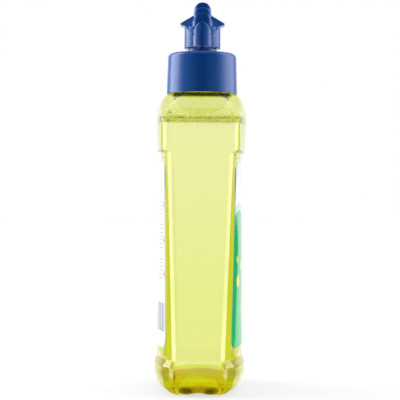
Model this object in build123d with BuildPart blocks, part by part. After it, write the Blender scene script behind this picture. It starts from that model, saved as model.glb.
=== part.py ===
from build123d import *
import math
import os

os.makedirs("parts", exist_ok=True)

# Rinse aid bottle, 500 ml, in millimetres with +Z up.
# The origin is the middle of the rim that it stands on. X is the width, Y the depth,
# and the front label faces -Y.

# Blown body
BODY_WIDTH = 78.5
BODY_DEPTH = 51.2
WALL = 0.9
FOOT_HEIGHT = 15.0
LEDGE_RISE = 5.0
PANEL_HEIGHT = 112.0
STEP_RISE = 2.0
BAND_HEIGHT = 17.0
SIDE_EDGE_RADIUS = 2.8
LABEL_EDGE_RADIUS = 2.0

# Base: the rounded bottom edge, the rim that it rests on and the pushed-up floor
BASE_EDGE_RUN = 7.0
BASE_EDGE_RISE = 12.0
REST_RIM = 3.0
PUSH_UP = 5.0
PUSH_UP_RUN = 7.5

# Shoulder: long slopes over the narrow sides, an elliptic roll over the labels
SHOULDER_DEPTH_RUN = 10.6
SHOULDER_RISE = 15.3
SHOULDER_START = 2.0
SHOULDER_BEND = 3.0
SHOULDER_TOP_RADIUS = 14.6
SHOULDER_FLAT = 5.2
SHOULDER_FACET = 4.3
SHOULDER_NARROWING = 1.7

# Sections in each lofted curve of the body
CURVE_STEPS = 6
EASING_STEPS = 4

# Neck finish and its thread
NECK_RADIUS = 12.6
BORE_RADIUS = 10.9
NECK_HEIGHT = 18.7
THREAD_DEPTH = 1.1
THREAD_ROOT = 2.2
THREAD_CREST = 1.1
THREAD_PITCH = 4.2
THREAD_TURNS = 1.25
THREAD_BELOW_RIM = 3.2
THREAD_CLEARANCE = 0.3
THREAD_SUNK = 0.2

# Contents and labels
FILL_LEVEL = 172.0
LABEL_WIDTH = 65.5
LABEL_MARGIN_LOW = 5.4
LABEL_MARGIN_HIGH = 4.4
LABEL_THICKNESS = 0.15
LABEL_CORNER = 5.0

# Screw cap
CAP_TOP_RADIUS = 19.45
CAP_RIM_RADIUS = 20.15
CAP_EDGE_RADIUS = 2.5
CAP_SHELL = 1.2
CAP_DECK = 1.6
CAP_SKIRT = 1.3
RIM_DROP = 1.3
RIM_CHAMFER = 0.8
SKIRT_LIFT = 2.2
PLUG_REACH = 4.0
PLUG_WALL = 1.1
PLUG_CLEARANCE = 0.1
GASKET_THICKNESS = 1.4
GASKET_CLEARANCE = 0.15

# Chimney of the cap, on which the spout slides, and the pin that shuts the outlet
CHIMNEY_RADIUS = 8.0
CHIMNEY_WALL = 1.1
BEAD_HEIGHT = 1.1
BEAD_DEPTH = 0.35
SPOKE_COUNT = 3
SPOKE_WIDTH = 1.8
SPOKE_HEIGHT = 1.6
HUB_RADIUS = 2.3
PIN_RADIUS = 1.45
PIN_RECESS = 0.5

# Push-pull spout: its sleeve, the inside, and the two wings that the fingers pull on
SPOUT_GAP = 2.8
SPOUT_TRAVEL = 5.0
STOP_CLEARANCE = 0.1
SLIDE_CLEARANCE = 0.15
SLEEVE_WALL = 1.8
SLEEVE_HEIGHT = 11.8
LIP_HEIGHT = 1.2
ROOF_GAP = 2.6
CORE_LENGTH = 13.0
CORE_WIDTH = 7.2
CORE_RISE = 6.5
NOZZLE_RADIUS = 2.6
OUTLET_CLEARANCE = 0.15
OUTLET_LENGTH = 4.0
WING_POINT = 13.9
WING_LOW = 7.2
WING_HIGH = 18.7
WING_POINT_LEVEL = 13.45
WING_ROOT = 4.9
WING_HEEL = 6.2
WING_COVE_RADIUS = 8.2
WING_ROOT_THICKNESS = 9.6
WING_TIP_THICKNESS = 5.0
WING_LEAN = 4.6
WING_ROUNDING = 0.6
ARCH_SPREAD = 0.25

# Blocks that step back over each other up the spout. Each is its reach to either side in X,
# its half width, its height over the sleeve's bottom, the rise of its arch and its corners.
ARCH_BLOCKS = (
    (12.0, 5.5, 14.1, 12.5, 5.4),
    (9.5, 5.4, 19.7, 8.2, 2.8),
    (7.0, 5.1, 22.8, 4.5, 2.8),
    (4.9, 4.9, 26.1, 5.5, 2.8),
)

# Levels from the base upwards
foot_top = FOOT_HEIGHT
panel_bottom = foot_top + LEDGE_RISE
panel_top = panel_bottom + PANEL_HEIGHT
band_bottom = panel_top + STEP_RISE
band_top = band_bottom + BAND_HEIGHT
shoulder_top = band_top + SHOULDER_START + SHOULDER_RISE
neck_top = shoulder_top + NECK_HEIGHT
cap_underside = neck_top + GASKET_THICKNESS
cap_top = cap_underside + CAP_DECK
cap_rim = shoulder_top - RIM_DROP
sleeve_bottom = cap_top + SPOUT_GAP
lip_top = sleeve_bottom + LIP_HEIGHT
bead_bottom = lip_top + SPOUT_TRAVEL + STOP_CLEARANCE
chimney_top = bead_bottom + BEAD_HEIGHT
sleeve_roof = chimney_top + ROOF_GAP
spout_top = sleeve_bottom + max(block[2] for block in ARCH_BLOCKS)

# Outline of the body at its main levels, as five sizes: how far the narrow side and the
# labelled face stand in from the overall width and depth, half the flat of the narrow side,
# and the run in X and in Y of the corner facet that joins it to the labelled face.
FOOT = (0.0, 0.0, 15.0, 5.9, 4.5)
PANEL_LOW = (0.5, 1.4, 12.6, 5.4, 4.8)
PANEL_HIGH = (0.5, 2.6, 17.3, 3.0, 1.6)
BAND_LOW = (0.4, 0.8, 20.0, 2.5, 1.3)
BAND_HIGH = (0.4, 0.2, 20.0, 2.5, 1.3)


def outline(level, station, inset=0.0):
    """Closed outline of the body at one level, drawn in by inset all round."""
    side_inset, face_inset, side_flat, facet_x, facet_y = station
    side = BODY_WIDTH / 2 - side_inset
    face = BODY_DEPTH / 2 - face_inset
    edge_x = side - facet_x
    edge_y = side_flat + facet_y
    with BuildSketch(Plane.XY.offset(level)) as section:
        with BuildLine():
            Line((side, -side_flat), (side, side_flat))
            Line((side, side_flat), (edge_x, edge_y))
            ThreePointArc((edge_x, edge_y), (0, face), (-edge_x, edge_y))
            Line((-edge_x, edge_y), (-side, side_flat))
            Line((-side, side_flat), (-side, -side_flat))
            Line((-side, -side_flat), (-edge_x, -edge_y))
            ThreePointArc((-edge_x, -edge_y), (0, -face), (edge_x, -edge_y))
            Line((edge_x, -edge_y), (side, -side_flat))
        make_face()
        if inset:
            offset(amount=-inset, kind=Kind.INTERSECTION, mode=Mode.REPLACE)
        label_edges = section.vertices().sort_by(lambda v: abs(v.X))[:4]
        fillet(label_edges, max(LABEL_EDGE_RADIUS - inset, WALL / 2))
        side_edges = section.vertices().sort_by(lambda v: abs(v.X))[-4:]
        fillet(side_edges, max(SIDE_EDGE_RADIUS - inset, WALL / 2))
    return section.sketch


def mixed(low, high, share):
    """Station between two others, at a share of the way from low to high."""
    return tuple(a + (b - a) * share for a, b in zip(low, high))


def eased():
    """Shares of a way that starts and ends gently, as height share and width share."""
    for step in range(EASING_STEPS + 1):
        share = step / EASING_STEPS
        yield share, (1 - math.cos(math.pi * share)) / 2


def shoulder_station(height):
    """Station of the shoulder at a height above the top of the band."""
    rise = SHOULDER_START + SHOULDER_RISE
    roll = min(max(height - SHOULDER_START, 0) / SHOULDER_RISE, 1)
    face_run = SHOULDER_DEPTH_RUN * (1 - math.sqrt(1 - roll**2))
    side_run = BODY_WIDTH / 2 - BAND_HIGH[0] - SHOULDER_TOP_RADIUS
    slope = side_run / (rise - SHOULDER_BEND / 2)
    bend = min(height, SHOULDER_BEND)
    side_slope = slope * (bend**2 / (2 * SHOULDER_BEND) + max(height - SHOULDER_BEND, 0))
    narrowing = (height / rise) ** SHOULDER_NARROWING
    flat = BAND_HIGH[2] + (SHOULDER_FLAT - BAND_HIGH[2]) * narrowing
    facet_x = BAND_HIGH[3] + (SHOULDER_FACET - BAND_HIGH[3]) * narrowing
    facet_y = BAND_HIGH[4] + (SHOULDER_FACET - BAND_HIGH[4]) * narrowing
    return (BAND_HIGH[0] + side_slope, BAND_HIGH[1] + face_run, flat, facet_x, facet_y)


def base_sections(inset):
    """Sections of the rounded bottom edge, a quarter of an ellipse, from the rim up."""
    for step in range(CURVE_STEPS + 1):
        turn = math.pi / 2 * step / CURVE_STEPS
        run = BASE_EDGE_RUN * (1 - math.sin(turn))
        level = BASE_EDGE_RISE * (1 - math.cos(turn))
        yield outline(level + inset, FOOT, inset + run)


def shoulder_sections(inset):
    """Sections of the shoulder, closer together where it rolls over into the neck."""
    for share in (0, 0.5, 1):
        height = SHOULDER_START * share
        yield outline(band_top + height - inset, shoulder_station(height), inset)
    for step in range(1, CURVE_STEPS + 1):
        turn = math.pi / 2 * step / CURVE_STEPS
        height = SHOULDER_START + SHOULDER_RISE * math.sin(turn)
        yield outline(band_top + height - inset, shoulder_station(height), inset)


def push_up(grown=0.0):
    """Solid of the pushed-up oval floor inside the resting rim, grown by a wall or not."""
    half_width = BODY_WIDTH / 2 - BASE_EDGE_RUN - REST_RIM + grown
    half_depth = BODY_DEPTH / 2 - BASE_EDGE_RUN - REST_RIM + grown
    with BuildPart() as floor:
        for step in range(EASING_STEPS + 1):
            turn = math.pi / 2 * step / EASING_STEPS
            run = PUSH_UP_RUN * (1 - math.cos(turn))
            with BuildSketch(Plane.XY.offset(PUSH_UP * math.sin(turn) + grown)):
                Ellipse(half_width - run, half_depth - run)
        loft()
        if grown:
            with BuildSketch():
                Ellipse(half_width, half_depth)
            extrude(amount=grown)
    return floor.part


def body_solid(inset=0.0):
    """Body without its neck: the outside, or with an inset the hollow inside it."""
    ledge = []
    for share, width in eased():
        ledge.append(outline(foot_top + LEDGE_RISE * share, mixed(FOOT, PANEL_LOW, width), inset))
    step_out = []
    for share, width in eased():
        level = panel_top + STEP_RISE * share
        step_out.append(outline(level, mixed(PANEL_HIGH, BAND_LOW, width), inset))
    base = list(base_sections(inset))
    shoulder = list(shoulder_sections(inset))
    zones = [
        loft(sections=base),
        loft(sections=[base[-1], ledge[0]], ruled=True),
        loft(sections=ledge),
        loft(sections=[ledge[-1], step_out[0]], ruled=True),
        loft(sections=step_out),
        loft(sections=[step_out[-1], shoulder[0]], ruled=True),
        loft(sections=shoulder),
    ]
    skin = [zones[0].faces().sort_by(Axis.Z)[0], zones[-1].faces().sort_by(Axis.Z)[-1]]
    for zone in zones:
        skin += zone.faces().filter_by(Axis.Z, reverse=True)
    return Solid(Shell(skin))


def helical_rib(radius, depth, slack, start):
    """Screw thread rib, rooted in a wall of this radius and standing out of it by depth.

    A negative depth makes the inside thread. The slack is taken off the rib's width."""
    sunk = math.copysign(THREAD_SUNK, depth)
    root = (THREAD_ROOT - slack) / 2
    crest = (THREAD_CREST - slack) / 2
    with BuildPart() as rib:
        with BuildLine() as path:
            Helix(THREAD_PITCH, THREAD_PITCH * THREAD_TURNS, radius, center=(0, 0, start))
        with BuildSketch(Plane(origin=(radius, 0, start), x_dir=(1, 0, 0), z_dir=(0, 1, 0))):
            with BuildLine():
                Polyline((-sunk, -root), (depth, -crest), (depth, crest), (-sunk, root), close=True)
            make_face()
        sweep(path=path.line, is_frenet=True)
    return rib.part


# Bottle: one blown piece of clear plastic, open at the neck
body_outside = body_solid()
body_inside = body_solid(WALL)
base_outside = push_up()
base_inside = push_up(WALL)
thread_start = neck_top - THREAD_BELOW_RIM - THREAD_PITCH * THREAD_TURNS

neck_thread = helical_rib(NECK_RADIUS, THREAD_DEPTH, 0, thread_start)

with BuildPart() as cavity:
    add(body_inside, clean=False)
    add(base_inside, clean=False, mode=Mode.SUBTRACT)

with BuildPart() as bottle:
    add(body_outside, clean=False)
    add(base_outside, clean=False, mode=Mode.SUBTRACT)
    with BuildSketch(Plane.XY.offset(shoulder_top - WALL)):
        Circle(NECK_RADIUS)
    extrude(amount=NECK_HEIGHT + WALL, clean=False)
    add(neck_thread, clean=False)
    add(cavity.part, clean=False, mode=Mode.SUBTRACT)
    with BuildSketch(Plane.XY.offset(neck_top)):
        Circle(BORE_RADIUS)
    extrude(amount=-(NECK_HEIGHT + 2 * WALL), clean=False, mode=Mode.SUBTRACT)
bottle.part.label = "bottle"
export_step(bottle.part, "parts/bottle.step")

# Rinse aid: fills the hollow of the body and the foot of the neck, up to the fill line
with BuildPart() as liquid:
    add(cavity.part, clean=False)
    with BuildSketch(Plane.XY.offset(shoulder_top - 2 * WALL)):
        Circle(BORE_RADIUS)
    extrude(amount=FILL_LEVEL - shoulder_top + 2 * WALL, clean=False)
liquid.part.label = "liquid"
export_step(liquid.part, "parts/liquid.step")

# Labels: self-adhesive film on the two crowned panels
label_bottom = panel_bottom + LABEL_MARGIN_LOW
label_top = panel_top - LABEL_MARGIN_HIGH
with BuildPart() as wrap:
    loft(
        sections=[
            outline(panel_bottom, PANEL_LOW, -LABEL_THICKNESS),
            outline(panel_top, PANEL_HIGH, -LABEL_THICKNESS),
        ],
        ruled=True,
    )
    loft(
        sections=[outline(panel_bottom, PANEL_LOW), outline(panel_top, PANEL_HIGH)],
        ruled=True,
        mode=Mode.SUBTRACT,
    )

for label_name, facing in (("front_label", -1), ("back_label", 1)):
    with BuildPart() as label:
        add(wrap.part)
        with BuildSketch(Plane.XZ):
            with Locations((0, (label_bottom + label_top) / 2)):
                RectangleRounded(LABEL_WIDTH, label_top - label_bottom, LABEL_CORNER)
        extrude(amount=-facing * BODY_DEPTH, mode=Mode.INTERSECT)
    label.part.label = label_name
    export_step(label.part, f"parts/{label_name}.step")

# Sealing ring: soft washer between the neck's rim and the cap
skirt_bore = NECK_RADIUS + THREAD_DEPTH + THREAD_CLEARANCE
with BuildPart() as sealing_ring:
    with BuildSketch(Plane.XY.offset(neck_top)):
        Circle(skirt_bore - GASKET_CLEARANCE)
        Circle(BORE_RADIUS + GASKET_CLEARANCE, mode=Mode.SUBTRACT)
    extrude(amount=GASKET_THICKNESS)
sealing_ring.part.label = "sealing_ring"
export_step(sealing_ring.part, "parts/sealing_ring.step")

# Screw cap: one moulding with a smooth outer shell, a threaded skirt, a plug that enters
# the bore, and a chimney that holds the pin on spokes
chimney_bore = CHIMNEY_RADIUS - CHIMNEY_WALL
bead_radius = CHIMNEY_RADIUS + BEAD_DEPTH
plug_radius = BORE_RADIUS - PLUG_CLEARANCE
skirt_bottom = cap_rim + SKIRT_LIFT
skirt_radius = skirt_bore + CAP_SKIRT
spoke_level = chimney_top - BEAD_HEIGHT - SPOKE_HEIGHT
cap_thread_start = thread_start - THREAD_PITCH / 2
cap_thread = helical_rib(skirt_bore, -THREAD_DEPTH, THREAD_CLEARANCE, cap_thread_start)

with BuildPart() as screw_cap:
    with BuildSketch(Plane.XZ) as shell:
        with BuildLine():
            Polyline(
                (chimney_bore, cap_underside),
                (chimney_bore, cap_top),
                (CAP_TOP_RADIUS, cap_top),
                (CAP_RIM_RADIUS, cap_rim),
                (CAP_RIM_RADIUS - CAP_SHELL + RIM_CHAMFER, cap_rim),
                (CAP_RIM_RADIUS - CAP_SHELL, cap_rim + RIM_CHAMFER),
                (CAP_TOP_RADIUS - CAP_SHELL, cap_underside),
                close=True,
            )
        make_face()
        top_edge = shell.vertices().sort_by(Axis.Y)[-2:].sort_by(Axis.X)[-1]
        fillet(top_edge, CAP_EDGE_RADIUS)
    revolve(axis=Axis.Z)
    with BuildSketch(Plane.XY.offset(skirt_bottom)):
        Circle(skirt_radius)
        Circle(skirt_bore, mode=Mode.SUBTRACT)
    extrude(amount=cap_underside - skirt_bottom)
    with BuildSketch(Plane.XY.offset(cap_underside)):
        Circle(plug_radius)
        Circle(plug_radius - PLUG_WALL, mode=Mode.SUBTRACT)
    extrude(amount=-(GASKET_THICKNESS + PLUG_REACH))
    with BuildSketch(Plane.XZ):
        with BuildLine():
            Polyline(
                (chimney_bore, cap_underside),
                (CHIMNEY_RADIUS, cap_underside),
                (CHIMNEY_RADIUS, bead_bottom),
                (bead_radius, bead_bottom),
                (bead_radius, bead_bottom + BEAD_HEIGHT / 2),
                (CHIMNEY_RADIUS, chimney_top),
                (chimney_bore, chimney_top),
                close=True,
            )
        make_face()
    revolve(axis=Axis.Z)
    with BuildSketch(Plane.XY.offset(spoke_level)):
        Circle(HUB_RADIUS)
        with PolarLocations(chimney_bore / 2, SPOKE_COUNT):
            Rectangle(chimney_bore + CHIMNEY_WALL, SPOKE_WIDTH)
    extrude(amount=SPOKE_HEIGHT)
    with BuildSketch(Plane.XY.offset(spoke_level)):
        Circle(PIN_RADIUS)
    extrude(amount=spout_top - PIN_RECESS - spoke_level)
    add(cap_thread)
screw_cap.part.label = "screw_cap"
export_step(screw_cap.part, "parts/screw_cap.step")


def arch_block(reach, half_width, height, arch_rise, corner):
    """Upright block with an arched top, as seen along X, and rounded corners in plan."""
    spring = sleeve_bottom + height - arch_rise
    foot = sleeve_bottom - ARCH_SPREAD
    span = half_width + ARCH_SPREAD
    with BuildPart() as block:
        with BuildSketch(Plane.XY.offset(sleeve_bottom)):
            RectangleRounded(2 * reach, 2 * half_width, corner)
        extrude(amount=height + ARCH_SPREAD)
        with BuildSketch(Plane.YZ):
            with BuildLine():
                Polyline((-span, spring), (-span, foot), (span, foot), (span, spring))
                EllipticalCenterArc((0, spring), span, arch_rise, 0, arc_size=180)
            make_face()
        extrude(amount=reach + ARCH_SPREAD, both=True, mode=Mode.INTERSECT)
    return block.part


def wing_plan():
    """Tapered block that gives the wings their plan: thick at the root, thin at the tips,
    and leaning in towards the top."""
    with BuildPart() as plan:
        for height, lean in ((WING_LOW, 0), (WING_HIGH, WING_LEAN)):
            root = WING_ROOT_THICKNESS - lean
            end = root * WING_TIP_THICKNESS / WING_ROOT_THICKNESS
            with BuildSketch(Plane.XY.offset(sleeve_bottom + height)) as hexagon:
                with BuildLine():
                    Polyline(
                        (0, WING_POINT),
                        (end, WING_POINT),
                        (root, WING_ROOT),
                        (root, 0),
                    )
                    mirror(about=Plane.XZ)
                    mirror(about=Plane.YZ)
                make_face()
        loft(ruled=True)
    return plan.part


def wing_pair(plan):
    """Both wings as one block: an arrowhead seen along X, cut to its plan."""
    low = sleeve_bottom + WING_LOW
    high = sleeve_bottom + WING_HIGH
    point = (WING_POINT, sleeve_bottom + WING_POINT_LEVEL)
    with BuildPart() as wings:
        with BuildSketch(Plane.YZ) as profile:
            with BuildLine():
                Line((0, low), (WING_HEEL, low))
                RadiusArc((WING_HEEL, low), point, WING_COVE_RADIUS)
                Polyline(point, (WING_ROOT, high), (0, high), (0, low))
            make_face()
            fillet(profile.vertices().sort_by(Axis.X)[-1:], WING_ROUNDING)
            mirror(about=Plane.YZ)
        extrude(amount=WING_POINT, both=True)
        add(plan, mode=Mode.INTERSECT)
    return wings.part


# Spout: one moulding that slides on the chimney; its lip catches under the bead
bore_radius = bead_radius + SLIDE_CLEARANCE
core_top = sleeve_roof + CORE_RISE
wings = wing_pair(wing_plan())
blocks = [arch_block(*block_sizes) for block_sizes in ARCH_BLOCKS]

with BuildPart() as spout:
    with BuildSketch(Plane.XY.offset(sleeve_bottom)):
        Circle(bore_radius + SLEEVE_WALL)
    extrude(amount=SLEEVE_HEIGHT)
    add(wings)
    add(blocks)
    with BuildSketch(Plane.XY.offset(sleeve_bottom)):
        Circle(CHIMNEY_RADIUS + SLIDE_CLEARANCE)
    extrude(amount=LIP_HEIGHT, mode=Mode.SUBTRACT)
    with BuildSketch(Plane.XY.offset(lip_top)):
        Circle(bore_radius)
    extrude(amount=sleeve_roof - lip_top, mode=Mode.SUBTRACT)
    with BuildSketch(Plane.XY.offset(sleeve_roof)):
        SlotOverall(CORE_LENGTH, CORE_WIDTH)
    extrude(amount=CORE_RISE, mode=Mode.SUBTRACT)
    with BuildSketch(Plane.XY.offset(core_top)):
        Circle(NOZZLE_RADIUS)
    extrude(amount=spout_top - OUTLET_LENGTH - core_top, mode=Mode.SUBTRACT)
    with BuildSketch(Plane.XY.offset(spout_top)):
        Circle(PIN_RADIUS + OUTLET_CLEARANCE)
    extrude(amount=core_top - spout_top, mode=Mode.SUBTRACT)
spout.part.label = "spout"
export_step(spout.part, "parts/spout.step")
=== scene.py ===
import math
import random

import bmesh
import bpy
import numpy as np
from mathutils import Matrix, Vector
from mathutils.bvhtree import BVHTree


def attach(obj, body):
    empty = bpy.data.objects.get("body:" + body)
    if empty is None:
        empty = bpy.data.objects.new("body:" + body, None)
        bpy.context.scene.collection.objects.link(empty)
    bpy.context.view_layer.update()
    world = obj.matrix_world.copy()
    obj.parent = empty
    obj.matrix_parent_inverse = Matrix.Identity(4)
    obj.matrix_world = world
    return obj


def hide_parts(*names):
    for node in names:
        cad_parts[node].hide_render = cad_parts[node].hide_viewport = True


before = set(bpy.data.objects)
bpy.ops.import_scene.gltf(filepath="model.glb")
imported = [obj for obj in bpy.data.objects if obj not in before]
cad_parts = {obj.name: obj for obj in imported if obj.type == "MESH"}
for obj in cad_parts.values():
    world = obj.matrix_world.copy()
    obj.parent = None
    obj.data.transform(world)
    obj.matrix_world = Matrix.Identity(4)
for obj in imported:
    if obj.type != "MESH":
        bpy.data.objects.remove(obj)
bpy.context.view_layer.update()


# Bottle. One piece of clear PET, stretch-blown in a two-part mould: a rounded foot, two crowned
# label panels between slim side flats with bevelled corners, a plain band, sloping shoulders
# and a threaded neck. The mould leaves a fine parting line up the middle of each narrow side.
MM = 0.001
body_half_width = 39.25
body_half_depth = 25.6
wall = 0.9

# each section through the body, in millimetres: how far its side and its face stand in, half
# the side's flat, and the run of the bevel at its corner in X and in Y
foot = (0.0, 0.0, 15.0, 5.9, 4.5)
panel_low = (0.5, 1.4, 13.5, 5.4, 3.9)
panel_high = (0.5, 2.6, 17.8, 3.0, 1.1)
band_low = (0.4, 0.8, 20.0, 2.5, 1.3)
band_high = (0.4, 0.2, 20.0, 2.5, 1.3)

foot_top, panel_bottom, panel_top, band_bottom, band_top = 15.0, 20.0, 132.0, 134.0, 151.0
shoulder_top = 168.3
heel_height, foot_inset = 12.0, 8.2
bevel_round, label_edge_round = 3.9, 2.0
floor_half_width, floor_half_depth, floor_bend, floor_lift = 29.25, 15.6, 7.5, 5.0
neck_radius, bore_radius = 12.6, 10.9
thread_start, thread_pitch, thread_turns, thread_depth = 178.55, 4.2, 1.25, 1.1


def arc(centre, radius, start, end, steps):
    """Points on an arc after its first one, up to and with its last."""
    turn = start + (end - start) * np.arange(1, steps + 1) / steps
    return np.stack([centre[0] + radius * np.cos(turn), centre[1] + radius * np.sin(turn)], 1)


def outline(section, inset=0.0, least=0.45):
    """The body's outline at one level, in millimetres, as a closed ring of points."""
    side_inset, face_inset, flat, bevel_x, bevel_y = section
    side = body_half_width - side_inset
    face = body_half_depth - face_inset
    normal = np.array([bevel_y, bevel_x]) / math.hypot(bevel_x, bevel_y)
    along = np.array([-normal[1], normal[0]])
    lean = math.atan2(normal[1], normal[0])

    # the crowned face is an arc through its middle and the bevel's far edge
    edge = np.array([side - bevel_x, flat + bevel_y])
    crown_y = (face**2 - edge @ edge) / (2 * (face - edge[1]))
    crown_radius = face - crown_y - inset
    side -= inset
    reach = normal @ edge - inset

    # the soft edge between the side's flat and the bevel
    round_side = max(min(bevel_round, 1.05 * math.hypot(bevel_x, bevel_y)) - inset, least)
    side_centre = np.array([side - round_side, 0.0])
    side_centre[1] = (reach - round_side - normal[0] * side_centre[0]) / normal[1]

    # the soft edge between the bevel and the crowned face: its centre slides along the bevel to
    # where the crown's arc is just as far off
    round_label = max(label_edge_round - inset, least)
    start = (reach - round_label) * normal - np.array([0.0, crown_y])
    half = start @ along
    swing = math.sqrt(max(half * half - start @ start + (crown_radius - round_label) ** 2, 0.0))
    slide = min(swing - half, -swing - half, key=lambda run: abs(run - edge @ along))
    label_centre = (reach - round_label) * normal + slide * along
    crown_turn = math.atan2(label_centre[1] - crown_y, label_centre[0])

    # one quarter, with its points closer together by the parting line, and then all four
    rise = side_centre[1]
    closeness = 1.0 if rise > 0.8 else rise
    near = closeness * np.array([0.1, 0.22, 0.4])
    far = np.linspace(near[-1], rise, 8)[1:]
    flat_points = np.stack([np.full(10, side), np.concatenate([near, far])], 1)
    side_round = arc(side_centre, round_side, 0, lean, 7)
    label_round = arc(label_centre, round_label, lean, crown_turn, 5)
    start, end = side_round[-1], label_centre + round_label * normal
    bevel = start + (end - start) * (np.arange(1, 5) / 4)[:, None]
    crown_arc = arc((0.0, crown_y), crown_radius, crown_turn, math.pi / 2, 22)
    quarter = np.concatenate([flat_points, side_round, bevel, label_round, crown_arc])
    mirrored = quarter[:-1][::-1] * [-1, 1]
    upper = np.concatenate([[[side, 0.0]], quarter, mirrored, [[-side, 0.0]]])
    lower = upper[1:-1][::-1] * [1, -1]
    return np.concatenate([upper, lower])


def between(low, high, share):
    """A section part of the way from one section to another."""
    return tuple(a + (b - a) * share for a, b in zip(low, high))


def eased(share):
    """A share from 0 to 1 that starts and ends softly."""
    return (1 - math.cos(math.pi * share)) / 2


def shoulder(height):
    """The section at a height over the band: straight slopes at the sides, a roll at the faces."""
    rise, top_half_width, bend_start, bend_run = 17.3, 14.6, 0.9, 1.2
    side_inset, face_inset, *_ = band_high
    slope = (body_half_width - side_inset - top_half_width) / (rise - bend_start - bend_run / 2)
    bent = min(max(height - bend_start, 0), bend_run)
    side_inset += slope * (bent**2 / (2 * bend_run) + max(height - bend_start - bend_run, 0))
    roll = min(max(height - 2.0, 0) / (rise - 2.0), 1)
    face_inset += 10.6 * (1 - math.sqrt(1 - roll**2))
    narrowing = (height / rise) ** 1.7
    return (side_inset, face_inset, *between(band_high[2:], (5.2, 4.3, 4.3), narrowing))


def at_level(points, level):
    """A flat ring of points, lifted to a level."""
    return np.column_stack([points, np.full(len(points), level)])


def body_rings(inset):
    """Rings of the body from its resting rim to the top of its shoulder.

    The inset is 0 for the outside, the wall's thickness for the inside, and less for the liquid."""
    rings = []
    for step in range(17):
        turn = math.pi / 2 * step / 16
        run = foot_inset * (1 - math.sin(turn))
        level = heel_height * (1 - math.cos(turn)) + inset
        rings.append(at_level(outline(foot, inset + run, least=0.9), level))
    heel_top = heel_height + inset
    for step in range(1, 23):
        level = heel_top + (panel_bottom - heel_top) * step / 22
        recess = eased(max(level - foot_top, 0) / (panel_bottom - foot_top))
        section = (panel_low[0] * eased(step / 22), *between(foot, panel_low, recess)[1:])
        rings.append(at_level(outline(section, inset), level))
    low, high = outline(panel_low, inset), outline(panel_high, inset)
    for step in range(1, 41):
        share = step / 40
        level = panel_bottom + (panel_top - panel_bottom) * share
        rings.append(at_level(low + (high - low) * share, level))
    for step in range(1, 9):
        share = step / 8
        section = between(panel_high, band_low, eased(share))
        rings.append(at_level(outline(section, inset), panel_top + (band_bottom - panel_top) * share))
    for step in range(1, 10):
        share = step / 9
        level = band_bottom + (band_top - band_bottom - inset) * share
        rings.append(at_level(outline(between(band_low, band_high, share), inset), level))
    rise = shoulder_top - band_top
    bend = [rise * 0.01 * step for step in range(1, 25)]
    slope = [rise * (0.24 + 0.76 * math.sin(math.pi / 2 * step / 20)) for step in range(1, 21)]
    for height in bend + slope:
        rings.append(at_level(outline(shoulder(height), inset), band_top + height - inset))
    return rings


def blown(rings, seam=0.0):
    """The mould's marks: a soft notch in the rim and a fine ridge up each narrow side."""
    notch_depth, notch_top, notch_half_width = 0.9, 3.5, 6.5
    ridge_half_width, slope_start = 0.3, 156.0
    for ring in rings:
        depth = np.clip(1 - ring[:, 2] / notch_top, 0, 1)
        near = np.clip(1 - (ring[:, 1] / notch_half_width) ** 2, 0, 1) ** 2
        ring[:, 2] += notch_depth * depth * near * (np.abs(ring[:, 0]) > 20)
        above_foot = np.clip((ring[:, 2] - foot_top) / 5.0, 0, 1)
        on_slope = 1 + 5.0 * np.clip((ring[:, 2] - slope_start) / 3.0, 0, 1)
        ridge = seam * on_slope * above_foot * np.clip(1 - np.abs(ring[:, 1]) / ridge_half_width, 0, 1)
        ring[:, 0] += ridge * np.sign(ring[:, 0])
    return rings


def push_up(grown):
    """Rings of the oval floor that is pushed up inside the resting rim, from its middle out."""
    angle = np.arctan2(foot_ring[:, 1] / floor_half_depth, foot_ring[:, 0] / floor_half_width)
    size = np.array([floor_half_width, floor_half_depth])
    round_angle = np.stack([np.cos(angle), np.sin(angle)], 1)
    rings = []
    for share in (0.2, 0.4, 0.6, 0.8):
        rings.append(at_level(round_angle * (size - floor_bend) * share, floor_lift + grown))
    for step in range(8, -1, -1):
        turn = math.pi / 2 * step / 8
        run = floor_bend * (1 - math.cos(turn)) - grown
        rings.append(at_level(round_angle * (size - run), floor_lift * math.sin(turn) + grown))
    return rings


def thread(ring, level):
    """Pushes a ring of the neck out where the screw thread crosses it."""
    angle = np.arctan2(ring[:, 1], ring[:, 0]) % (2 * math.pi)
    push = np.zeros(len(ring))
    for turn in (0, 1):
        swept = angle + 2 * math.pi * turn
        centre = thread_start + thread_pitch * swept / (2 * math.pi)
        rib = np.clip((1.1 - np.abs(level - centre)) / 0.55, 0, 1)
        run_in = np.clip(swept / 0.25, 0, 1)
        run_out = np.clip((2 * math.pi * thread_turns - swept) / 0.25, 0, 1)
        push = np.maximum(push, rib * run_in * run_out)
    return ring * (1 + thread_depth * push / neck_radius)[:, None]


def solid_of_rings(name, rings, low_centre, high_centre):
    """A closed mesh skinned over rings of equal count, in metres, with a point at either end."""
    count = len(rings[0])
    points = np.concatenate([[low_centre], *rings, [high_centre]]) * MM
    edges = [(a, (a + 1) % count) for a in range(count)]
    faces = [(0, 1 + b, 1 + a) for a, b in edges]
    for low in range(1, 1 + (len(rings) - 1) * count, count):
        high = low + count
        faces += [(low + a, low + b, high + b, high + a) for a, b in edges]
    top = len(points) - 1
    faces += [(top - count + a, top - count + b, top) for a, b in edges]
    mesh = bpy.data.meshes.new(name)
    mesh.from_pydata(points.tolist(), [], faces)
    mesh.polygons.foreach_set("use_smooth", [True] * len(faces))
    mesh.update()
    made = bpy.data.objects.new(name, mesh)
    bpy.context.scene.collection.objects.link(made)
    return made


foot_ring = outline(foot, foot_inset, least=0.9)
outside = blown(push_up(0.0) + body_rings(0.0), seam=0.03)
inside = blown(push_up(wall) + body_rings(wall))

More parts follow.
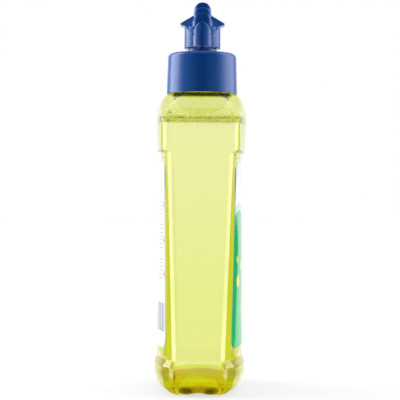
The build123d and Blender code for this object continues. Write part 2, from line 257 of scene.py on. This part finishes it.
# the neck from its root up its threaded outside, over the lip, down the bore and into the body
neck_angle = np.arctan2(outside[-1][:, 1], outside[-1][:, 0])
circle = np.stack([np.cos(neck_angle), np.sin(neck_angle)], 1)
neck = []
for radius, level in ((13.6, 168.3), (13.0, 168.35), (12.7, 168.6)):
    neck.append(at_level(circle * radius, level))
for step in range(44):
    level = 168.9 + 17.9 * step / 43
    neck.append(at_level(thread(circle * neck_radius, level), level))
for radius, level in ((12.5, 186.93), (12.3, 187.0), (11.2, 187.0), (11.0, 186.93), (10.9, 186.8)):
    neck.append(at_level(circle * radius, level))
for level in (184.0, 180.0, 176.0, 172.0, 169.5, 168.6):
    neck.append(at_level(circle * bore_radius, level))
for radius, level in ((11.0, 168.1), (11.4, 167.7), (12.1, 167.45), (12.9, 167.4)):
    neck.append(at_level(circle * radius, level))

skin = outside + neck + inside[::-1]
bottle = solid_of_rings("clear_bottle", skin, (0, 0, floor_lift), (0, 0, floor_lift + wall))


def nodes_of(name):
    """A new material, with its node tree and its shader."""
    material = bpy.data.materials.new(name)
    material.use_nodes = True
    tree = material.node_tree
    return material, tree, tree.nodes["Principled BSDF"]


def mottle(tree, scale, detail, stretch=(1, 1, 1)):
    """Noise in the piece's own coordinates, in metres."""
    place = tree.nodes.new("ShaderNodeTexCoord")
    mapping = tree.nodes.new("ShaderNodeMapping")
    mapping.inputs["Scale"].default_value = stretch
    noise = tree.nodes.new("ShaderNodeTexNoise")
    noise.inputs["Scale"].default_value = scale
    noise.inputs["Detail"].default_value = detail
    tree.links.new(place.outputs["Object"], mapping.inputs["Vector"])
    tree.links.new(mapping.outputs["Vector"], noise.inputs["Vector"])
    return noise.outputs["Fac"]


def spread(tree, value, low, high, at_low=0.35, at_high=0.65):
    """Maps a noise value from its middle range on to a range of its own."""
    remap = tree.nodes.new("ShaderNodeMapRange")
    remap.inputs["From Min"].default_value = at_low
    remap.inputs["From Max"].default_value = at_high
    remap.inputs["To Min"].default_value = low
    remap.inputs["To Max"].default_value = high
    tree.links.new(value, remap.inputs["Value"])
    return remap.outputs["Result"]


def relief(tree, shader, height, depth):
    """Fine relief from a height value; the depth is in metres."""
    bump = tree.nodes.new("ShaderNodeBump")
    bump.inputs["Strength"].default_value = 1.0
    bump.inputs["Distance"].default_value = depth
    tree.links.new(height, bump.inputs["Height"])
    tree.links.new(bump.outputs["Normal"], shader.inputs["Normal"])


def number(tree, operation, first, second=0.0):
    """A Math node on two values, each a number or a socket."""
    node = tree.nodes.new("ShaderNodeMath")
    node.operation = operation
    for slot, value in enumerate((first, second)):
        if isinstance(value, (int, float)):
            node.inputs[slot].default_value = value
        else:
            tree.links.new(value, node.inputs[slot])
    return node.outputs[0]


def ink(tree, under, mask, colour):
    """Lays one flat colour over what is printed so far, where the mask says."""
    mix = tree.nodes.new("ShaderNodeMix")
    mix.data_type = "RGBA"
    tree.links.new(mask, mix.inputs["Factor"])
    if isinstance(under, tuple):
        mix.inputs["A"].default_value = (*under, 1)
    else:
        tree.links.new(under, mix.inputs["A"])
    if isinstance(colour, tuple):
        mix.inputs["B"].default_value = (*colour, 1)
    else:
        tree.links.new(colour, mix.inputs["B"])
    return mix.outputs["Result"]


def millimetres(tree):
    """The piece's own X, Y and Z in millimetres."""
    place = tree.nodes.new("ShaderNodeTexCoord")
    parts = tree.nodes.new("ShaderNodeSeparateXYZ")
    tree.links.new(place.outputs["Object"], parts.inputs["Vector"])
    return [number(tree, "MULTIPLY", parts.outputs[axis], 1000.0) for axis in "XYZ"]


def tint_by_level(tree, level, low, high, tones):
    """Colour up the bottle between two levels; each tone starts at its own level."""
    node = tree.nodes.new("ShaderNodeValToRGB")
    tree.links.new(spread(tree, level, 0.0, 1.0, low, high), node.inputs["Fac"])
    marks = node.color_ramp.elements
    while len(marks) < len(tones):
        marks.new(0.5)
    for mark, (at, tone) in zip(marks, tones):
        mark.position = (at - low) / (high - low)
        mark.color = (*tone, 1)
    return node.outputs["Color"]


pet, tree, shader = nodes_of("blown_pet")
shader.inputs["Transmission Weight"].default_value = 1.0
shader.inputs["IOR"].default_value = 1.52
# clear is the plastic's own colour; amber and olive are colours of painted shade
clear, painted_amber_shade, painted_olive_shade = (0.97, 0.98, 0.95), (0.67, 0.55, 0.015), (0.05, 0.055, 0.004)
x, y, z = millimetres(tree)

# painted shade: the wall's colour turns amber and deep yellow at the heel, in an arch over each narrow
# side, where refraction through the heel shows shade
ripple = number(tree, "SUBTRACT", mottle(tree, 70.0, 2.0, stretch=(1, 1, 2)), 0.5)
wave = number(tree, "MULTIPLY", ripple, 3.0)
off_middle = number(tree, "ABSOLUTE", number(tree, "DIVIDE", y, 16.0))
arch = number(tree, "MULTIPLY", number(tree, "POWER", off_middle, 2.0), 1.6)
heel_level = number(tree, "ADD", number(tree, "ADD", z, arch), wave)
heel_painted_shade = tint_by_level(tree, heel_level, 0.0, 20.0, (
    (0.6, (0.9, 0.88, 0.3)), (2.2, painted_amber_shade), (6.0, painted_amber_shade), (6.9, (0.84, 0.82, 0.03)),
    (8.2, (0.84, 0.84, 0.03)), (8.9, clear)))

# painted shade under the cap: the neck's root turns olive and dark on the slopes of the narrow sides, where
# shade from the cap falls
shade_under_cap = tint_by_level(tree, z, 160.0, 170.0, (
    (162.9, clear), (163.7, (0.8, 0.76, 0.1)), (164.3, painted_olive_shade), (166.1, painted_olive_shade), (166.6, (0.5, 0.5, 0.02))))
narrow_side = spread(tree, number(tree, "ABSOLUTE", y), 1.0, 0.0, 15.0, 17.0)
shade_under_cap = ink(tree, clear, narrow_side, shade_under_cap)
painted_heel_and_cap_shade = ink(tree, heel_painted_shade, spread(tree, z, 0.0, 1.0, 60.0, 70.0), shade_under_cap)
# the wall's colour carries both painted shades, at the heel and under the cap
tree.links.new(painted_heel_and_cap_shade, shader.inputs["Base Color"])
tree.links.new(spread(tree, mottle(tree, 260.0, 5.0), 0.0, 0.05), shader.inputs["Roughness"])
relief(tree, shader, mottle(tree, 45.0, 2.0, stretch=(1, 1, 0.35)), 0.00006)
bottle.data.materials.append(pet)
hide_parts("bottle")
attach(bottle, "bottle")


# Rinse aid. The clear yellow liquid that fills the body and the foot of the neck. It wets the
# plastic, so its sides take the wall's shape and its edge climbs a little up the neck.
fill_level = 172.0
wetting = wall - 0.12

rings = blown(push_up(wetting) + body_rings(wetting))
for radius, level in ((12.9, 167.52), (12.1, 167.57), (11.42, 167.82), (11.12, 168.2), (11.02, 168.7)):
    rings.append(at_level(circle * radius, level))
creep = ((11.02, -1.5), (11.02, 0.6), (10.88, 0.5), (10.6, 0.2), (10.2, 0.05), (8.0, 0), (5.0, 0), (2.5, 0))
for radius, climb in creep:
    rings.append(at_level(circle * radius, fill_level + climb))
rinse_aid = solid_of_rings("rinse_aid", rings, (0, 0, floor_lift + wetting), (0, 0, fill_level))

liquid_look, tree, shader = nodes_of("yellow_rinse_aid")
shader.inputs["Base Color"].default_value = (1, 1, 1, 1)
shader.inputs["Transmission Weight"].default_value = 1.0
shader.inputs["Roughness"].default_value = 0.0
shader.inputs["IOR"].default_value = 1.36
dye = tree.nodes.new("ShaderNodeVolumeAbsorption")
dye.inputs["Color"].default_value = (0.907, 0.947, 0.02, 1)
dye.inputs["Density"].default_value = 15.0
tree.links.new(dye.outputs["Volume"], tree.nodes["Material Output"].inputs["Volume"])
rinse_aid.data.materials.append(liquid_look)
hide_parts("liquid")
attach(rinse_aid, "bottle")


# Foam. Small air bubbles, left from filling, that cling under the shoulder just over the bend of
# each narrow side, with a string of them along the bend itself.
random.seed(11)

# besides that string: how many are tried, their least size and its spread, how far across they
# reach, and their least height over the band and its spread
few_large, many_small = (90, 0.45, 0.55, 19.0, 2.2, 2.6), (1200, 0.25, 0.35, 19.5, 1.8, 4.6)
clinging = []
for side in (-1, 1):
    for along_bend in np.arange(-19.0, 19.1, 0.9):
        across = along_bend + random.uniform(-0.2, 0.2)
        height = 2.0 + random.uniform(-0.1, 0.1)
        clinging.append((side, across, height, random.uniform(0.35, 0.5)))
    for tries, least, more, half_run, low, rise in (few_large, many_small):
        for bubble in range(tries):
            size = least + more * random.random() ** 1.5
            across = random.uniform(-half_run, half_run)
            clinging.append((side, across, low + rise * random.random(), size))

# each rests against the sloping wall, unless it would sink too far into one that is there
shoulder_slope = math.radians(57)
closeness = 0.8
settled = {-1: [], 1: []}
air = bmesh.new()
for side, across, height, size in clinging:
    side_inset, _, flat, _, _ = shoulder(height)
    ceiling = body_half_width - side_inset - wetting
    centre = Vector((side * (ceiling - math.cos(shoulder_slope) * size), across,
                     band_top + height - wetting - math.sin(shoulder_slope) * size))
    crowded = any((centre - other).length < closeness * (size + reach) for other, reach in settled[side])
    if crowded or abs(across) > flat - 0.4:
        continue
    settled[side].append((centre, size))
    place = Matrix.Translation(centre * MM) @ Matrix.Diagonal((size * MM, size * MM, size * MM * 0.9, 1))
    bmesh.ops.create_icosphere(air, subdivisions=2, radius=1.0, matrix=place)
foam_mesh = bpy.data.meshes.new("clinging_bubbles")
air.to_mesh(foam_mesh)
air.free()
foam_mesh.polygons.foreach_set("use_smooth", [True] * len(foam_mesh.polygons))
bubbles = bpy.data.objects.new("clinging_bubbles", foam_mesh)
bpy.context.scene.collection.objects.link(bubbles)

# painted light: the froth glows a little yellow of its own, for the light that scatters between the bubbles
# many times; each bubble's rim is painted darker yellow than its middle, as painted shade
air_look, tree, shader = nodes_of("trapped_air")
shader.inputs["Specular IOR Level"].default_value = 0.2
shader.inputs["Emission Color"].default_value = (0.8, 0.83, 0.1, 1)
shader.inputs["Emission Strength"].default_value = 0.38
facing = tree.nodes.new("ShaderNodeLayerWeight")
facing.inputs["Blend"].default_value = 0.5
shaded_rim = spread(tree, facing.outputs["Facing"], 0.0, 1.0, 0.3, 0.95)
tree.links.new(ink(tree, (0.96, 0.96, 0.35), shaded_rim, (0.72, 0.74, 0.03)), shader.inputs["Base Color"])
tree.links.new(spread(tree, shaded_rim, 0.4, 0.85, 0.0, 1.0), shader.inputs["Alpha"])
tree.links.new(spread(tree, mottle(tree, 900.0, 2.0), 0.1, 0.25), shader.inputs["Roughness"])
bubbles.data.materials.append(air_look)
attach(bubbles, "bottle")


# Labels. Two self-adhesive films, printed on the outside and stuck on the crowned panels. The
# glue wets the PET, so the film's inner face lies a hair inside the wall's surface.
label_half_width, label_bottom, label_top, label_corner = 32.75, 25.4, 127.6, 5.0
film_outside, film_inside = 0.14, -0.06


def crown(across, level, out):
    """Depth of the crowned panel, out from its face, for a point across it at a level."""
    depth = []
    for side_inset, face_inset, flat, bevel_x, bevel_y in (panel_low, panel_high):
        edge = (body_half_width - side_inset - bevel_x, flat + bevel_y)
        face = body_half_depth - face_inset
        centre = (face**2 - edge[0] ** 2 - edge[1] ** 2) / (2 * (face - edge[1]))
        depth.append(centre + np.sqrt((face - centre + out) ** 2 - across**2))
    share = (level - panel_bottom) / (panel_top - panel_bottom)
    return depth[0] * (1 - share) + depth[1] * share


def label(name, facing, print_on):
    """A label with round corners, as one closed skin round its outer and inner faces."""
    corner = [label_corner * (1 - math.cos(math.pi / 2 * step / 8)) for step in range(9)]
    low = [label_bottom + 0.02 + cut for cut in corner]
    high = [label_top - 0.02 - cut for cut in reversed(corner)]
    middle = list(np.linspace(low[-1], high[0], 52))[1:-1]
    rows = []
    for level in low + middle + high:
        from_end = min(level - label_bottom, label_top - level, label_corner)
        cut = label_corner - math.sqrt(label_corner**2 - (label_corner - from_end) ** 2)
        rows.append((level, label_half_width - cut))
    across = np.linspace(-1, 1, 41)
    points, faces = [], []
    for out in (film_outside, film_inside):
        for level, half in rows:
            for x in across * half:
                points.append((x, facing * crown(x, level, out), level))
    wide, tall = len(across), len(rows)
    back = wide * tall
    for row in range(tall - 1):
        for column in range(wide - 1):
            a = row * wide + column
            faces.append((a, a + 1, a + wide + 1, a + wide))
            faces.append((back + a, back + a + wide, back + a + wide + 1, back + a + 1))
    border = list(range(wide)) + [row * wide + wide - 1 for row in range(1, tall)]
    border += list(range(back - 2, back - wide - 1, -1)) + [row * wide for row in range(tall - 2, 0, -1)]
    for a, b in zip(border, border[1:] + border[:1]):
        faces.append((b, a, back + a, back + b))
    if facing > 0:
        faces = [face[::-1] for face in faces]
    mesh = bpy.data.meshes.new(name)
    mesh.from_pydata((np.array(points) * MM).tolist(), [], faces)
    on_one_side = [len(set(point // back for point in face)) == 1 for face in faces]
    mesh.polygons.foreach_set("use_smooth", on_one_side)
    mesh.materials.append(print_on)
    made = bpy.data.objects.new(name, mesh)
    bpy.context.scene.collection.objects.link(made)
    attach(made, "bottle")
    return made


def inside_of(tree, value, low, high, blur=0.15):
    """1 where a value in millimetres lies between two bounds, with a slightly soft print edge."""
    rising = number(tree, "DIVIDE", number(tree, "SUBTRACT", value, low), blur)
    falling = number(tree, "DIVIDE", number(tree, "SUBTRACT", high, value), blur)
    clamp = tree.nodes.new("ShaderNodeClamp")
    tree.links.new(number(tree, "MINIMUM", rising, falling), clamp.inputs["Value"])
    return clamp.outputs[0]


def slant(tree, run, rise):
    """The length of a line with this run and rise."""
    squares = [number(tree, "MULTIPLY", leg, leg) for leg in (run, rise)]
    return number(tree, "SQRT", number(tree, "ADD", *squares))


def film(name):
    """Printed film: millimetre sockets across and up the label, and its gloss and fine ripple."""
    material, tree, shader = nodes_of(name)
    shader.inputs["IOR"].default_value = 1.5
    shader.inputs["Specular IOR Level"].default_value = 0.0
    shader.inputs["Coat Weight"].default_value = 1.0
    shader.inputs["Coat Roughness"].default_value = 0.06
    tree.links.new(spread(tree, mottle(tree, 400.0, 4.0), 0.3, 0.42), shader.inputs["Roughness"])
    relief(tree, shader, mottle(tree, 120.0, 3.0), 0.00003)
    x, _, z = millimetres(tree)
    place = tree.nodes.new("ShaderNodeTexCoord")
    facing = tree.nodes.new("ShaderNodeSeparateXYZ")
    tree.links.new(place.outputs["Normal"], facing.inputs["Vector"])
    return material, tree, shader, x, z, facing.outputs["Y"]


def stripes(tree, value, pitch, width):
    """1 on thin lines that repeat at a pitch, in millimetres."""
    wave = number(tree, "FRACT", number(tree, "DIVIDE", value, pitch))
    return number(tree, "LESS_THAN", wave, width / pitch)


def both(tree, first, second):
    """1 where two masks are both 1."""
    return number(tree, "MULTIPLY", first, second)


# front print: a green ground, a pale field like a tide over it, four yellow rounds and a sash
front_film, tree, shader, x, z, normal_y = film("front_film")
green, mint = (0.0, 0.54, 0.15), (0.5, 0.8, 0.6)
paper, sky_blue, lemon = (0.86, 0.88, 0.9), (0.5, 0.68, 0.86), (0.9, 0.78, 0.06)
swell = number(tree, "SINE", number(tree, "MULTIPLY", x, 0.075))
tide = number(tree, "ADD", z, number(tree, "MULTIPLY", swell, 9.0))
printed = ink(tree, green, inside_of(tree, tide, 92.0, 96.0), mint)
printed = ink(tree, printed, inside_of(tree, tide, 96.0, 150.0), paper)
printed = ink(tree, printed, inside_of(tree, tide, 106.0, 150.0, 22.0), sky_blue)
for at_x, at_z, radius in ((-25.0, 74.0, 2.2), (-23.0, 62.0, 3.4), (-14.0, 70.0, 2.4), (12.0, 108.0, 8.0)):
    from_middle = slant(tree, number(tree, "SUBTRACT", x, at_x), number(tree, "SUBTRACT", z, at_z))
    printed = ink(tree, printed, inside_of(tree, from_middle, -1.0, radius), lemon)
sash = number(tree, "ADD", z, number(tree, "MULTIPLY", x, -0.35))
on_right = inside_of(tree, x, -15.0, 40.0, 6.0)
printed = ink(tree, printed, both(tree, on_right, inside_of(tree, sash, 48.0, 53.0)), lemon)
printed = ink(tree, printed, both(tree, on_right, inside_of(tree, sash, 45.4, 46.6)), paper)
glued_face = number(tree, "GREATER_THAN", normal_y, 0.2)
printed = ink(tree, printed, glued_face, (0.8, 0.82, 0.8))
tree.links.new(printed, shader.inputs["Base Color"])
front_label = label("front_film_label", -1, front_film)
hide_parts("front_label")

# back print: white, with thin grey rules in columns, small orange squares and a grey-blue panel
back_film, tree, shader, x, z, normal_y = film("back_film")
white, orange = (0.88, 0.88, 0.87), (0.9, 0.2, 0.06)
grey, blue_grey = (0.4, 0.42, 0.45), (0.34, 0.37, 0.44)
block = number(tree, "FRACT", number(tree, "DIVIDE", z, 19.0))
gap = inside_of(tree, block, -0.1, 0.16, 0.01)
ruled = both(tree, inside_of(tree, z, 62.0, 118.0), number(tree, "SUBTRACT", 1.0, gap))
columns = number(tree, "MAXIMUM", inside_of(tree, x, -28.0, -3.0), inside_of(tree, x, 3.0, 24.0))
rules = both(tree, both(tree, stripes(tree, z, 2.1, 0.65), ruled), columns)
printed = ink(tree, white, rules, grey)
for at_z in (64.0, 83.0, 102.0):
    square = both(tree, inside_of(tree, x, -31.5, -29.2), inside_of(tree, z, at_z, at_z + 3.4))
    printed = ink(tree, printed, square, orange)
panel = both(tree, inside_of(tree, x, -30.5, 6.0), inside_of(tree, z, 34.0, 50.0))
printed = ink(tree, printed, panel, blue_grey)
printed = ink(tree, printed, both(tree, panel, stripes(tree, x, 5.0, 0.5)), white)
glued_face = number(tree, "LESS_THAN", normal_y, -0.2)
printed = ink(tree, printed, glued_face, (0.82, 0.82, 0.8))
tree.links.new(printed, shader.inputs["Base Color"])
back_label = label("back_film_label", 1, back_film)
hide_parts("back_label")


# Sealing ring. A flat washer of soft white foam, cut from sheet. It lies under the cap's top,
# and the cap presses it on the rim of the neck.
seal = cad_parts["sealing_ring"]
foam_look, tree, shader = nodes_of("white_seal_foam")
shader.inputs["Base Color"].default_value = (0.85, 0.85, 0.82, 1)
shader.inputs["Roughness"].default_value = 0.85
relief(tree, shader, mottle(tree, 2500.0, 2.0), 0.00015)
seal.data.materials.clear()
seal.data.materials.append(foam_look)


# Screw cap. Injection-moulded polypropylene in deep blue: a smooth outer shell over a threaded
# skirt, with the chimney in its middle that the spout slides on.
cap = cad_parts["screw_cap"]
blue, tree, shader = nodes_of("blue_polypropylene")
shader.inputs["IOR"].default_value = 1.49
tree.links.new(spread(tree, mottle(tree, 900.0, 4.0), 0.14, 0.2), shader.inputs["Roughness"])
relief(tree, shader, mottle(tree, 350.0, 2.0), 0.000004)
# painted shade: the blue darkens to shadow blue in nooks and creases, where ambient occlusion finds the
# surface closed in
crease_shade = tree.nodes.new("ShaderNodeAmbientOcclusion")
crease_shade.inputs["Distance"].default_value = 0.0025
crease_shade.samples = 8
shadow_blue, deep_blue = (0.0, 0.02, 0.11), (0.0, 0.095, 0.44)
unshaded_part = spread(tree, crease_shade.outputs["AO"], 0.0, 1.0, 0.3, 0.85)
tree.links.new(ink(tree, shadow_blue, unshaded_part, deep_blue), shader.inputs["Base Color"])
cap.data.materials.clear()
cap.data.materials.append(blue)


# Spout. A single moulding of the same blue polypropylene, pushed down to shut and pulled up by
# its two wings to open. Blocks with arched tops step back over each other up to the outlet.
spout_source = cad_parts["spout"]
spout = bpy.data.objects.new("soft_edged_spout", spout_source.data.copy())
bpy.context.scene.collection.objects.link(spout)
bpy.context.view_layer.objects.active = spout
spout.data.materials.clear()

# a mould leaves every edge a little round: an even skin over the solid, smoothed slightly
weld = spout.modifiers.new("weld", "WELD")
weld.merge_threshold = 0.000002
remesh = spout.modifiers.new("even_skin", "REMESH")
remesh.mode = "VOXEL"
remesh.voxel_size = 0.00026
soften = spout.modifiers.new("moulded_edges", "SMOOTH")
soften.factor = 0.5
soften.iterations = 4
depsgraph = bpy.context.evaluated_depsgraph_get()
skinned = bpy.data.meshes.new_from_object(spout.evaluated_get(depsgraph))
spout.modifiers.clear()
spout.data = skinned

# the sliding faces inside the sleeve stay exactly where they clear the chimney and its bead
sleeve_bore, sleeve_roof = 8.9, 203.0
corners = [point.co for point in spout_source.data.vertices]
moulding = BVHTree.FromPolygons(corners, [face.vertices for face in spout_source.data.polygons])
for point in skinned.vertices:
    if point.co.xy.length < sleeve_bore * MM and point.co.z < sleeve_roof * MM:
        point.co = moulding.find_nearest(point.co)[0]
spout.data.polygons.foreach_set("use_smooth", [True] * len(skinned.polygons))
# the spout takes the cap's blue, with its painted shade in the creases between the stepped blocks
spout.data.materials.append(blue)
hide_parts("spout")
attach(spout, "spout")


# Studio. A round pale table top in a white surround, with tall soft lights and dark screens beside
# the bottle. The camera stands level with the bottle's middle and looks at a narrow side.
table_radius = 6.0
table = bpy.data.meshes.new("table_top")
angles = np.linspace(0, 2 * math.pi, 129)[:-1]
edge = [(table_radius * math.cos(angle), table_radius * math.sin(angle), 0.0) for angle in angles]
table.from_pydata(edge, [], [tuple(range(len(edge)))])
table_top = bpy.data.objects.new("table_top", table)
bpy.context.scene.collection.objects.link(table_top)
pale, tree, shader = nodes_of("pale_table")
shader.inputs["Base Color"].default_value = (0.93, 0.93, 0.93, 1)
shader.inputs["Roughness"].default_value = 0.6
x, y, _ = millimetres(tree)


def switch(tree, factor, off, on):
    """One surface or light where the factor is 0, another where it is 1."""
    node = tree.nodes.new("ShaderNodeMixShader")
    tree.links.new(factor, node.inputs["Fac"])
    tree.links.new(off, node.inputs[1])
    tree.links.new(on, node.inputs[2])
    return node.outputs[0]


# painted shade and painted light, seen only through the bottle: the table is amber by the foot for the
# shade there and yellow round it for the light the liquid throws, and then ends
past_sides = []
for across, half in ((x, body_half_width), (y, body_half_depth)):
    past_side = number(tree, "SUBTRACT", number(tree, "ABSOLUTE", across), half)
    past_sides.append(number(tree, "MAXIMUM", past_side, 0.0))
past = slant(tree, *past_sides)
away = spread(tree, past, 0.0, 1.0, 0.0, 22.0)
painted_foot_shade_and_caustic = ink(tree, (0.58, 0.48, 0.012), away, (0.72, 0.72, 0.02))
through = tree.nodes.new("ShaderNodeLightPath").outputs["Is Transmission Ray"]
glow = tree.nodes.new("ShaderNodeEmission")
tree.links.new(ink(tree, (1.0, 1.0, 1.0), through, painted_foot_shade_and_caustic), glow.inputs["Color"])
glow.inputs["Strength"].default_value = 1.1
share_of_glow = number(tree, "MAXIMUM", through, 0.6)
lit_top = switch(tree, share_of_glow, shader.outputs["BSDF"], glow.outputs["Emission"])
beyond = number(tree, "MULTIPLY", through, spread(tree, past, 0.0, 1.0, 40.0, 60.0))
nothing = tree.nodes.new("ShaderNodeBsdfTransparent").outputs["BSDF"]
tree.links.new(switch(tree, beyond, lit_top, nothing), tree.nodes["Material Output"].inputs["Surface"])
table.materials.append(pale)
table_top.visible_glossy = False
table_top.visible_diffuse = False

world = bpy.data.worlds.new("studio")
bpy.context.scene.world = world
world.use_nodes = True
sky = world.node_tree
for node in list(sky.nodes):
    sky.nodes.remove(node)
place = sky.nodes.new("ShaderNodeTexCoord")
parts = sky.nodes.new("ShaderNodeSeparateXYZ")
sky.links.new(place.outputs["Generated"], parts.inputs["Vector"])
dir_x, dir_y, dir_z = parts.outputs
level_run = number(sky, "MAXIMUM", slant(sky, dir_x, dir_y), 0.001)
heading = number(sky, "DIVIDE", dir_x, level_run)


def ramp(tree, value, stops):
    """Brightness or colour along a value from -1 to 1."""
    node = tree.nodes.new("ShaderNodeValToRGB")
    tree.links.new(number(tree, "ADD", number(tree, "MULTIPLY", value, 0.5), 0.5), node.inputs["Fac"])
    marks = node.color_ramp.elements
    while len(marks) < len(stops):
        marks.new(0.5)
    for mark, (at, tone) in zip(marks, stops):
        mark.position = at * 0.5 + 0.5
        mark.color = (*tone, 1) if isinstance(tone, tuple) else (tone, tone, tone, 1)
    return node.outputs["Color"]


def ease(tree, value, low, high):
    """0 up to one value, 1 from another on, and soft between them."""
    node = tree.nodes.new("ShaderNodeMapRange")
    node.interpolation_type = "SMOOTHSTEP"
    node.inputs["From Min"].default_value = low
    node.inputs["From Max"].default_value = high
    tree.links.new(value, node.inputs["Value"])
    return node.outputs["Result"]


def shine(tree, colour, strength):
    """Light from the surround, in one colour or in a colour that a socket gives."""
    node = tree.nodes.new("ShaderNodeBackground")
    node.inputs["Strength"].default_value = strength
    if isinstance(colour, tuple):
        node.inputs["Color"].default_value = (*colour, 1)
    else:
        tree.links.new(colour, node.inputs["Color"])
    return node.outputs[0]


# brightness of the lights by their heading, from the camera's side at -1 to the far side at 1
left_lamp = ramp(sky, heading, (
    (-1.0, 0.01), (-0.8, 0.015), (-0.74, 0.04), (-0.45, 0.06), (-0.28, 0.18), (-0.12, 0.46), (-0.03, 0.7),
    (0.2, 0.8), (0.45, 0.76), (0.6, 0.4), (0.7, 0.12), (0.77, 0.03), (0.85, 0.14), (1.0, 0.14)))
right_lamp = ramp(sky, heading, (
    (-1.0, 0.01), (-0.75, 0.02), (-0.55, 0.06), (-0.4, 0.14), (-0.15, 0.36), (0.05, 0.54),
    (0.45, 0.46), (0.6, 0.34), (0.7, 0.14), (0.77, 0.03), (0.85, 0.14), (1.0, 0.14)))
high_lights = ink(sky, right_lamp, ease(sky, dir_y, -0.03, 0.03), left_lamp)
low_lights = ramp(sky, heading, (
    (-1.0, 0.01), (-0.985, 0.01), (-0.93, 0.65), (-0.3, 0.75), (-0.02, 0.7), (0.03, 0.04),
    (0.5, 0.04), (0.6, 0.01), (0.77, 0.01), (0.82, 0.14), (1.0, 0.14)))
wide_lights = ramp(sky, heading, (
    (-1.0, 0.01), (-0.985, 0.01), (-0.93, 0.42), (-0.3, 0.48), (-0.02, 0.45), (0.03, 0.02),
    (0.42, 0.02), (0.55, 0.1), (0.7, 0.13), (0.9, 0.15), (1.0, 0.14)))

# a slanted dark screen keeps the wide light off the front label's inner part
screen_slant = number(sky, "MINIMUM", number(sky, "MULTIPLY", dir_z, 1.36), -0.06)
screen_edge = number(sky, "SUBTRACT", heading, screen_slant)
shaded = number(sky, "MULTIPLY", ease(sky, heading, 0.5, 0.6), ease(sky, screen_edge, 0.99, 0.965))
shaded = number(sky, "MULTIPLY", shaded, ease(sky, dir_y, 0.02, -0.02))
shaded = number(sky, "MULTIPLY", shaded, ease(sky, dir_z, -0.01, -0.03))
wide_lights = ink(sky, wide_lights, shaded, (0.01, 0.01, 0.01))

# low lights under the bottle's level, wide ones at it, high ones over it, and dim straight up
level_part = number(sky, "MULTIPLY", ease(sky, dir_z, -0.119, -0.113), ease(sky, dir_z, 0.037, 0.03))
around = ink(sky, low_lights, level_part, wide_lights)
around = ink(sky, around, ease(sky, dir_z, 0.05, 0.075), high_lights)
around = ink(sky, around, ease(sky, dir_z, 0.6, 0.9), (0.08, 0.08, 0.08))
around = ink(sky, around, ease(sky, dir_z, -0.25, -0.4), (0.1, 0.085, 0.006))

# the surround as the bottle refracts it: white ahead, beside and on the diagonals, yellow between
longer = number(sky, "MAXIMUM", number(sky, "ABSOLUTE", dir_x), number(sky, "ABSOLUTE", dir_y))
off_axis = number(sky, "DIVIDE", longer, level_run)
yellow, clean = (0.79, 0.8, 0.012), (1.0, 1.0, 1.0)
backdrop = ink(sky, (1.0, 0.98, 0.86), ease(sky, dir_z, -0.12, 0.07), (1.05, 1.01, 1.25))
behind = ink(sky, backdrop, ease(sky, off_axis, 0.75, 0.79), yellow)
behind = ink(sky, behind, ease(sky, off_axis, 0.94, 0.975), backdrop)

# reflections see the lights, refractions see the backdrop, and dull surfaces a soft side light
rays = sky.nodes.new("ShaderNodeLightPath").outputs
seen = switch(sky, rays["Is Transmission Ray"], shine(sky, around, 7.0), shine(sky, behind, 1.0))
side_light = ramp(sky, heading, ((-1.0, 0.08), (-0.55, 0.1), (-0.3, 1.0), (0.4, 1.0), (1.0, 0.35)))
seen = switch(sky, rays["Is Diffuse Ray"], seen, shine(sky, side_light, 1.75))
seen = switch(sky, rays["Is Camera Ray"], seen, shine(sky, clean, 1.0))
out = sky.nodes.new("ShaderNodeOutputWorld")
sky.links.new(seen, out.inputs["Surface"])

bpy.context.scene.view_settings.view_transform = "Standard"
cycles = bpy.context.scene.cycles
cycles.max_bounces = 32
cycles.transmission_bounces = 32
cycles.glossy_bounces = 24
cycles.transparent_max_bounces = 32

camera_data = bpy.data.cameras.new("camera")
camera_data.lens = 114.5
camera_data.sensor_width = 36
camera = bpy.data.objects.new("camera", camera_data)
distance, eye_level = 0.727, 0.1066
camera_turn, camera_roll, camera_aim = math.radians(0.8), math.radians(-0.57), math.radians(0.038)
camera.location = (-distance * math.cos(camera_turn), -distance * math.sin(camera_turn), eye_level)
camera.rotation_euler = (math.pi / 2, camera_roll, camera_turn + camera_aim - math.pi / 2)
bpy.context.scene.collection.objects.link(camera)
bpy.context.scene.camera = camera
